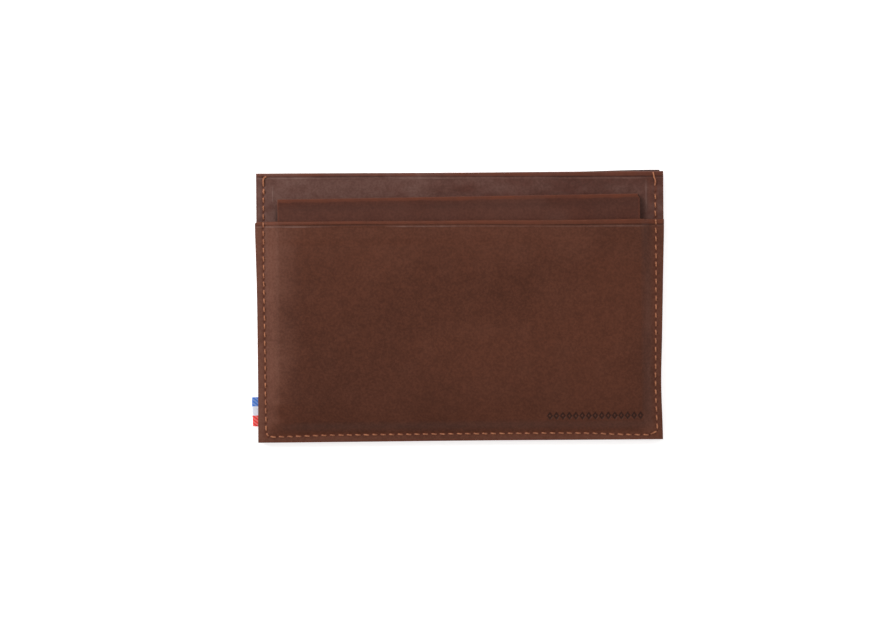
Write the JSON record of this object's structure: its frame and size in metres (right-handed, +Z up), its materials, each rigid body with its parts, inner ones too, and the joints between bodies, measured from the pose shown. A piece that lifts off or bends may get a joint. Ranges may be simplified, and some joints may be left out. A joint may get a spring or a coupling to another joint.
{
  "type": "card wallet",
  "caption": "Slim flat leather card wallet: sewn rear panel, divider and front pocket, with a stiff card sleeve that slides out of the front pocket and a ribbon tab in the seam.",
  "frame": {"origin": "centre of the back face, with the wallet lying on its back", "axes": "+X across the width, to the right when the front is seen with the mouths up; +Y towards the pocket mouths; +Z up, out of the front face"},
  "size_m": [0.1066, 0.0694, 0.0059],
  "materials": {
    "leather_body": "smooth waxed cowhide, semi-matte",
    "leather_wall": "smooth waxed cowhide, semi-matte, slightly greyed",
    "leather_sleeve": "smooth waxed cowhide, semi-matte",
    "leather_filler": "skived leather strip, raw",
    "lining": "thin plain-woven lining cloth",
    "spacer": "bonded leather board",
    "thread": "waxed twisted polyester thread",
    "ribbon": "woven twill ribbon in three stripes"
  },
  "bodies": {
    "wallet": {"back_panel": "leather_body", "back_lining": "lining", "seam_filler": "leather_filler", "ribbon_tab": "ribbon", "divider_lining": "lining", "divider_wall": "leather_wall", "front_lining": "lining", "front_panel": "leather_body", "needle_thread": "thread", "bobbin_thread": "thread"},
    "sleeve": {"sleeve_rear_leaf": "leather_sleeve", "sleeve_spacer": "spacer", "sleeve_front_leaf": "leather_sleeve"}
  },
  "joints": [
    {"name": "sleeve_slide", "type": "slide", "parent": "wallet", "child": "sleeve", "axis": [0, 1, 0], "range_m": [0, 0.07]}
  ]
}
